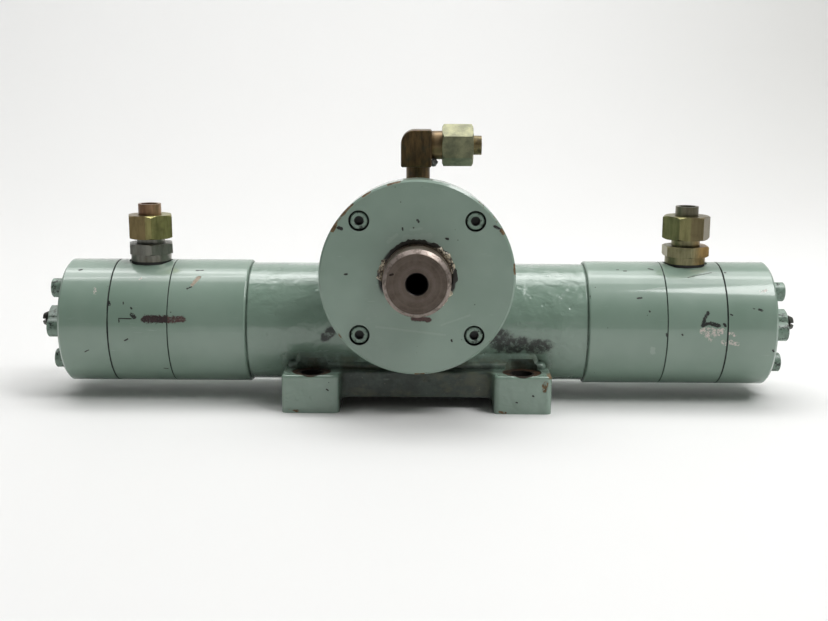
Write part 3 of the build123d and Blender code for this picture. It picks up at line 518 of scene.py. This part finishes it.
def metal(name, color, dark, rough=(0.3, 0.5), stain=None, grain=None, seed=0.0, metallic=1.0):
    """Bare or plated metal: two tones, an optional stain, and fine turning marks."""
    s = Surface(name)
    tone = s.step(s.noise(0.005, 5, 0.65, seed=seed), 0.32, 0.68)
    shade = s.mix(tone, color, dark)
    if stain:
        shade = s.mix(s.scale(s.step(s.noise(0.009, 4, 0.7, seed=seed + 3), 0.48, 0.66), 0, 0.85),
                      shade, stain)
    gloss = s.scale(s.noise(0.0025, 4, 0.6, seed=seed + 1), *rough)
    fine = s.noise(0.0012, 3, 0.6, stretch=grain)
    return s.finish(shade, gloss, s.bump(fine, 0.00005, 0.6), metallic)


def plated(name, middle, left, right, spread=0.0006, streak=(1, 1, 0.15), rough=(0.26, 0.42),
           metallic=0.85, seed=0.0):
    """Plating that aged differently on its two sides, with streaks along the axis."""
    s = Surface(name)
    turn = s.step(s.x, middle - spread, middle + spread)
    shade = s.mix(turn, left, right)
    streaks = s.step(s.noise(0.0022, 4, 0.65, stretch=streak, seed=seed), 0.40, 0.70)
    shade = s.mix(s.scale(streaks, 0, 0.5), shade, s.mix(turn, [c * 0.35 for c in left],
                                                         [c * 0.35 for c in right]))
    cloud = s.step(s.noise(0.006, 4, 0.6, seed=seed + 2), 0.45, 0.75)
    shade = s.mix(s.scale(cloud, 0, 0.45), shade, (0.10, 0.085, 0.045))
    gloss = s.scale(s.noise(0.003, 4, 0.6, seed=seed + 1), *rough)
    fine = s.bump(s.noise(0.0010, 3, 0.6, stretch=streak), 0.00006, 0.6)
    return s.finish(shade, gloss, fine, metallic)


def shaft_metal():
    """Turned face with faint rings, a painted highlight on the chamfer, painted shade in the centre hole,
    old grease near the cover.
    """
    s = Surface("shaft_steel_worn")
    reach = s.radial(PINION, (1, 0, 1))
    rings = s.node("ShaderNodeTexNoise", {"Vector": s.scaled((1, 1, 1), reach),
                                          "Scale": 1500.0, "Detail": 3.0}).outputs[0]
    tone = s.step(s.noise(0.006, 5, 0.65, seed=3.0), 0.35, 0.70)
    shade = s.mix(tone, (0.128, 0.102, 0.084), (0.085, 0.066, 0.052))
    shade = s.mix(s.scale(s.step(rings, 0.45, 0.62), 0, 0.22), shade, (0.20, 0.160, 0.135))
    inner = s.step(s.math("ABSOLUTE", s.math("SUBTRACT", reach, 0.0082)), 0.0012, 0.0004)
    shade = s.mix(s.scale(inner, 0, 0.16), shade, (0.24, 0.19, 0.17))
    # painted highlight: the lit chamfer round the shaft's end painted light
    edge = s.step(reach, 0.0144, 0.0150)
    chamfer_highlight = s.both(edge, s.step(s.noise(0.004, 4, 0.7, seed=4.0), 0.30, 0.55))
    shade = s.mix(s.scale(chamfer_highlight, 0, 0.7), shade, (0.46, 0.39, 0.35))
    back = s.both(s.step(s.y, -0.0670, -0.0660), s.step(s.noise(0.003, 4, 0.7, seed=2), 0.38, 0.58))
    shade = s.mix(s.scale(back, 0, 0.75), shade, (0.20, 0.155, 0.105))
    nick = s.strokes([((-12.6, -70, 74.4), (-11.4, -70, 74.8), 0.5)])
    shade = s.mix(nick, shade, (0.02, 0.012, 0.01))
    # painted shade: the centre hole in the shaft's end painted near-black
    shade = s.mix(s.step(reach, 0.0060, 0.0052), shade, (0.004, 0.004, 0.004))
    gloss = s.scale(s.noise(0.003, 4, 0.6, seed=5), 0.34, 0.52)
    normal = s.bump(rings, 0.00004, 0.5, s.bump(s.noise(0.0012, 3), 0.00004, 0.5))
    return s.finish(shade, gloss, normal, 0.75)


def elbow_metal():
    """Bronzed forging with rust-brown streaks running down."""
    s = Surface("bronzed_elbow")
    streak = s.noise(0.0030, 5, 0.75, stretch=(1.0, 1.0, 0.22), seed=2.0)
    shade = s.mix(s.step(streak, 0.34, 0.72), (0.062, 0.040, 0.018), (0.175, 0.108, 0.042))
    green = s.step(s.noise(0.005, 4, 0.6, seed=4.0), 0.50, 0.70)
    shade = s.mix(s.scale(green, 0, 0.7), shade, (0.050, 0.050, 0.030))
    # painted highlight: the right side of the elbow's neck painted light tan
    neck = s.step(s.x, 0.0070, 0.0095)
    shade = s.mix(s.scale(neck, 0, 0.65), shade, (0.30, 0.21, 0.11))
    gloss = s.scale(s.noise(0.003, 4, 0.6), 0.26, 0.46)
    return s.finish(shade, gloss, s.bump(streak, 0.00005, 0.6), 0.6)


def painted_fastener(name, axis_places, keep, socket):
    """Fasteners under the same enamel: sockets painted black as shade, and grime."""
    s = Paint(name, seed=6.2, cloudy=0.5)
    s.color = s.mix(s.step(s.noise(0.003, 4, 0.7, seed=2.0), 0.45, 0.68), s.color, PAINT_DARK)
    nearest = None
    for place in axis_places:
        reach = s.radial(place, keep)
        nearest = reach if nearest is None else s.math("MINIMUM", nearest, reach)
    # painted shade: the hex sockets painted black
    s.layer(s.step(nearest, socket * 1.08, socket * 0.94), GRIME_AND_SHADE, 0.5)
    dirt = s.step(s.noise(0.0028, 4, 0.7, seed=8.0), 0.54, 0.62)
    s.layer(s.scale(dirt, 0, 0.85), GRIME_AND_SHADE, 0.5)
    return s.done(0.2)


def rubber(name):
    s = Surface(name)
    shade = s.mix(s.noise(0.004, 3), (0.012, 0.012, 0.012), (0.028, 0.027, 0.026))
    return s.finish(shade, s.scale(s.noise(0.003, 3), 0.55, 0.75),
                    s.bump(s.noise(0.0008, 2), 0.00004, 0.5))


SLOTS = {
    "bronze": metal("bronze", (0.50, 0.31, 0.12), (0.34, 0.19, 0.07), seed=1),
    "rubber": rubber("rubber"),
    "black_steel": metal("black_steel", (0.055, 0.055, 0.052), (0.025, 0.024, 0.022),
                         (0.28, 0.5), seed=2),
    "tooth_steel": metal("tooth_steel", (0.42, 0.41, 0.38), (0.25, 0.24, 0.22), seed=4),
    "ring_steel": metal("ring_steel", (0.40, 0.39, 0.37), (0.28, 0.27, 0.25), seed=9),
    "screw_steel": metal("screw_steel", (0.10, 0.105, 0.09), (0.02, 0.02, 0.018), seed=12,
                         metallic=0.7),
    "piston_steel": metal("piston_steel", (0.42, 0.42, 0.41), (0.30, 0.30, 0.29), seed=13),
    "guide_plastic": metal("guide_plastic", (0.05, 0.16, 0.13), (0.03, 0.10, 0.08),
                           (0.5, 0.7), seed=14, metallic=0.0),
}


def ring_places(centre, radius, count, start, flat):
    """Places round a circle; flat is the axis that the circle's plane leaves out."""
    for turn in range(count):
        angle = start + turn * 2 * math.pi / count
        across, up = radius * math.cos(angle), radius * math.sin(angle)
        yield centre + (Vector((across, 0, up)) if flat == "y" else Vector((0, across, up)))


AXIS = Vector((0, 0, RACK_Z))
SPECIAL = {
    "housing": paint_housing(),
    "front_cover": paint_cover("enamel_front_cover", COVER_R, FRONT_SCREW_RING, True),
    "rear_cover": paint_cover("enamel_rear_cover", REAR_R, REAR_SCREW_RING, False),
    "pinion_shaft": shaft_metal(),
    "drain_elbow": elbow_metal(),
    "drain_union_nut": metal("drain_nut_zinc", (0.31, 0.31, 0.19), (0.17, 0.17, 0.11),
                             (0.38, 0.52), seed=6, grain=(0.3, 1, 1), metallic=0.75),
    "drain_tube_stub": metal("drain_tube_steel", (0.34, 0.26, 0.12), (0.10, 0.085, 0.05), seed=5,
                             grain=(1, 0.2, 0.2), metallic=0.8),
    "left_port_union_nut": plated("left_nut_zinc", -PORT_X, (0.25, 0.19, 0.090),
                                  (0.37, 0.34, 0.140), seed=1),
    "right_port_union_nut": plated("right_nut_zinc", PORT_X, (0.26, 0.245, 0.110),
                                   (0.20, 0.165, 0.085), seed=2),
    "left_port_stud": plated("left_stud_zinc", -PORT_X, (0.20, 0.20, 0.175), (0.25, 0.25, 0.215),
                             seed=3),
    "right_port_stud": plated("right_stud_zinc", PORT_X + 0.004, (0.26, 0.245, 0.135),
                              (0.36, 0.23, 0.085), spread=0.004, seed=4),
    "left_port_tube_stub": plated("left_tube_steel", -PORT_X, (0.24, 0.135, 0.075),
                                  (0.36, 0.23, 0.13), spread=0.004, seed=5, metallic=0.7),
    "right_port_tube_stub": plated("right_tube_steel", PORT_X, (0.20, 0.19, 0.13),
                                   (0.13, 0.12, 0.08), spread=0.004, seed=6, metallic=0.7),
    "front_cover_screws": painted_fastener(
        "enamel_front_screws",
        list(ring_places(PINION, FRONT_SCREW_RING, 4, math.pi / 4, "y")), (1, 0, 1), COVER_SOCKET),
    "rear_cover_screws": painted_fastener(
        "enamel_rear_screws",
        list(ring_places(PINION, REAR_SCREW_RING, 4, math.pi / 4, "y")), (1, 0, 1), COVER_SOCKET),
}
ends = painted_fastener("enamel_end_bolts", list(ring_places(AXIS, END_BOLT_RING, 6, 0, "x")),
                        (0, 1, 1), BOLT_SOCKET)
for side in ("left", "right"):
    for part in ("end_bolts", "bolt_washers", "lock_nut"):
        SPECIAL[f"{side}_{part}"] = ends
for label, wear in TURNED.items():
    SPECIAL[label] = paint_turned("enamel_" + label, **wear)

for entry in frame["record"]["subparts"]:
    piece = nodes[entry["node"]]
    piece.data.materials.clear()
    piece.data.materials.append(SPECIAL.get(entry["node"]) or SLOTS[entry["material_slot"]])


# ------------------------------------------------------------------ small pieces on the body
def new_piece(mesh, material):
    """Turns a mesh into a smooth piece fixed to the housing, named like the mesh."""
    mesh.shade_smooth()
    mesh.materials.append(material)
    piece = bpy.data.objects.new(mesh.name, mesh)
    bpy.context.scene.collection.objects.link(piece)
    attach(piece, "housing")


def lump(*place, size=1.0):
    """Smooth solid noise, about -1 to 1, at a place in millimetres."""
    return solid_noise.noise(Vector(place) / size)


def torn_paint(name, start, end, inner, outer, height, seed, material):
    """A ragged collar of torn paint and filler round the shaft, closed all over.

    It runs between two clock angles on the cover's face, swells and thins as it goes,
    and its outer edge is bitten in and out.
    """
    around, across = int((end - start) / 2.2), 9
    top, bottom = [], []
    for i in range(around + 1):
        share = i / around
        angle = math.radians(start + (end - start) * share)
        taper = min(1.0, 6 * share, 6 * (1 - share))
        reach = (outer - inner) * (0.62 + 0.38 * lump(i * 2.2, seed, 0, size=7)) * max(taper, 0.12)
        for j in range(across + 1):
            u = j / across
            wiggle = 0.25 * lump(i * 1.7, j * 1.3, seed, size=2.5)
            radius = (inner + reach * u + wiggle * u) * MM
            rise = math.sin(math.pi * min(1.0, u * 0.9 + 0.1)) ** 0.6
            tall = height * rise * taper * (0.55 + 0.45 * lump(i * 1.9, j * 2.1, seed + 5, size=4))
            at = PINION + Vector((math.cos(angle), 0, math.sin(angle))) * radius
            top.append((at.x, COVER_Y - max(tall, 0.03) * MM, at.z))
            bottom.append((at.x, COVER_Y + 0.15 * MM, at.z))
    row, total = across + 1, len(top)
    faces = []
    for i in range(around):
        for j in range(across):
            a = i * row + j
            faces.append((a, a + row, a + row + 1, a + 1))
            faces.append((total + a, total + a + 1, total + a + row + 1, total + a + row))
        for j in (0, across):
            a, b = i * row + j, (i + 1) * row + j
            side = (a, total + a, total + b, b)
            faces.append(side if j == 0 else side[::-1])
    for i in (0, around):
        for j in range(across):
            a = i * row + j
            side = (a, a + 1, total + a + 1, total + a)
            faces.append(side if i == 0 else side[::-1])
    mesh = bpy.data.meshes.new(name)
    mesh.from_pydata(top + bottom, [], faces)
    new_piece(mesh, material)


def filler_look():
    s = Surface("torn_paint")
    tone = s.noise(0.0018, 4, 0.65, seed=2.0)
    shade = s.mix(s.step(tone, 0.38, 0.58), (0.055, 0.038, 0.024), CREAM)
    shade = s.mix(s.step(s.noise(0.003, 4, 0.7, seed=5.0), 0.52, 0.62), shade, (0.020, 0.016, 0.012))
    return s.finish(shade, 0.42, s.bump(s.noise(0.0009, 3), 0.00015, 0.8), coat=0.3)


def grease_look():
    s = Surface("old_grease")
    shade = s.mix(s.noise(0.0020, 4), (0.006, 0.006, 0.005), (0.020, 0.016, 0.010))
    return s.finish(shade, s.scale(s.noise(0.003, 3), 0.18, 0.5),
                    s.bump(s.noise(0.0012, 3), 0.0002, 0.8))


BLOB = Vector((8.2, -3.6, 122.9))             # under the elbow's neck, in millimetres


def sealant_blob():
    """Grey thread sealant squeezed out under the elbow."""
    bm = bmesh.new()
    bmesh.ops.create_icosphere(bm, subdivisions=4, radius=1.0)
    for v in bm.verts:
        swell = 1 + 0.28 * lump(*(v.co * 3.0), size=1.6) + 0.10 * lump(*(v.co * 9.0), size=1.6)
        v.co = BLOB * MM + Vector((v.co.x * 2.1, v.co.y * 2.8, v.co.z * 1.9)) * swell * MM
    mesh = bpy.data.meshes.new("thread_sealant")
    bm.to_mesh(mesh)
    bm.free()
    s = Surface("sealant_grey")
    shade = s.mix(s.noise(0.0015, 4), (0.30, 0.30, 0.29), (0.13, 0.13, 0.125))
    new_piece(mesh, s.finish(shade, 0.6, s.bump(s.noise(0.0008, 3), 0.0001, 0.8)))


GREASE_LOOK, FILLER_LOOK = grease_look(), filler_look()
torn_paint("shaft_grease", -38, 158, 17.3, 20.6, 0.35, 2.0, GREASE_LOOK)
torn_paint("torn_paint_right", 8, 62, 17.2, 21.6, 1.5, 11.0, FILLER_LOOK)
torn_paint("torn_paint_left", 146, 186, 17.2, 20.8, 1.1, 23.0, FILLER_LOOK)
torn_paint("torn_paint_low", -52, -16, 17.2, 19.6, 0.5, 31.0, FILLER_LOOK)
sealant_blob()


# ------------------------------------------------------------------ stage, light, camera
def stage_sweep():
    """White table that runs up into a backdrop."""
    front, back, half, bend, top = -2.2, 1.5, 4.0, 0.9, 3.4
    line = [(front, 0.0), (back - bend, 0.0)]
    for t in range(1, 17):                     # the bend, a quarter turn in sixteen steps
        turn = t * math.pi / 32
        line.append((back - bend + bend * math.sin(turn), bend - bend * math.cos(turn)))
    line.append((back, top))
    mesh = bpy.data.meshes.new("table_sweep")
    verts = [(x, y, z) for y, z in line for x in (-half, half)]
    faces = [(2 * i, 2 * i + 1, 2 * i + 3, 2 * i + 2) for i in range(len(line) - 1)]
    mesh.from_pydata(verts, [], faces)
    mesh.shade_smooth()
    sweep = bpy.data.objects.new("table_sweep", mesh)
    bpy.context.scene.collection.objects.link(sweep)
    s = Surface("table_white")
    # painted shade: the backdrop painted darker towards the right
    dim = s.both(s.step(s.x, 0.0, 0.75), s.step(s.y, 0.35, 1.2))
    shade = s.mix(dim, (0.81, 0.81, 0.80), (0.66, 0.66, 0.64))
    shade = s.mix(s.scale(s.noise(0.3, 3), 0, 0.2), shade, (0.86, 0.86, 0.85))
    mesh.materials.append(s.finish(shade, 0.6, s.bump(s.noise(0.01, 2), 0.0001, 0.2)))


def area_light(name, at, aim, size, power):
    lamp = bpy.data.lights.new(name, "AREA")
    lamp.shape = "RECTANGLE"
    lamp.size, lamp.size_y = size
    lamp.energy = power
    holder = bpy.data.objects.new(name, lamp)
    holder.location = at
    holder.rotation_euler = (Vector(aim) - Vector(at)).to_track_quat("-Z", "Y").to_euler()
    bpy.context.scene.collection.objects.link(holder)


def make_camera():
    """Camera low in front of the cover, turned a little off the shaft's axis."""
    pitch, yaw, roll = math.radians(11.175), math.radians(-0.457), math.radians(0.244)
    ahead = Vector((math.sin(yaw) * math.cos(pitch), math.cos(yaw) * math.cos(pitch),
                    -math.sin(pitch)))
    level = Vector((math.cos(yaw), -math.sin(yaw), 0))
    upward = level.cross(ahead)
    right = math.cos(roll) * level + math.sin(roll) * upward
    up = -math.sin(roll) * level + math.cos(roll) * upward
    data = bpy.data.cameras.new("camera")
    data.sensor_width = 36
    data.lens = 51.68
    camera = bpy.data.objects.new("camera", data)
    turn = Matrix((right, up, -ahead)).transposed().to_4x4()
    camera.matrix_world = Matrix.Translation((0.00317, -0.6258, 0.1672)) @ turn
    bpy.context.scene.collection.objects.link(camera)
    bpy.context.scene.camera = camera


def make_world():
    """Soft light from all round, dimmer from the front than from the back of the room."""
    world = bpy.data.worlds.new("studio")
    bpy.context.scene.world = world
    world.use_nodes = True
    sky = world.node_tree
    backdrop = sky.nodes["Background"]
    backdrop.inputs[0].default_value = (1.0, 1.0, 0.985, 1)
    heading = sky.nodes.new("ShaderNodeSeparateXYZ")
    dimming = sky.nodes.new("ShaderNodeMapRange")
    sky.links.new(sky.nodes.new("ShaderNodeTexCoord").outputs["Generated"], heading.inputs[0])
    sky.links.new(heading.outputs[1], dimming.inputs["Value"])
    for socket, value in (("From Min", -1.0), ("From Max", 0.2), ("To Min", 0.05), ("To Max", 0.27)):
        dimming.inputs[socket].default_value = value
    sky.links.new(dimming.outputs[0], backdrop.inputs[1])


make_world()
bpy.context.scene.view_settings.view_transform = "Standard"
stage_sweep()
area_light("overhead", (0.0, 0.45, 1.7), (0, 0.05, 0.0), (2.4, 1.1), 21)
area_light("tube", (-0.30, 0.30, 1.55), (-0.1, 0, 0.05), (1.4, 0.05), 1.5)
area_light("key", (0.70, -0.36, 1.2), (0.05, 0, 0.06), (0.52, 0.62), 9.5)
area_light("wash", (-0.30, 0.75, 2.1), (-0.15, 1.5, 0.7), (2.6, 0.4), 11)
make_camera()
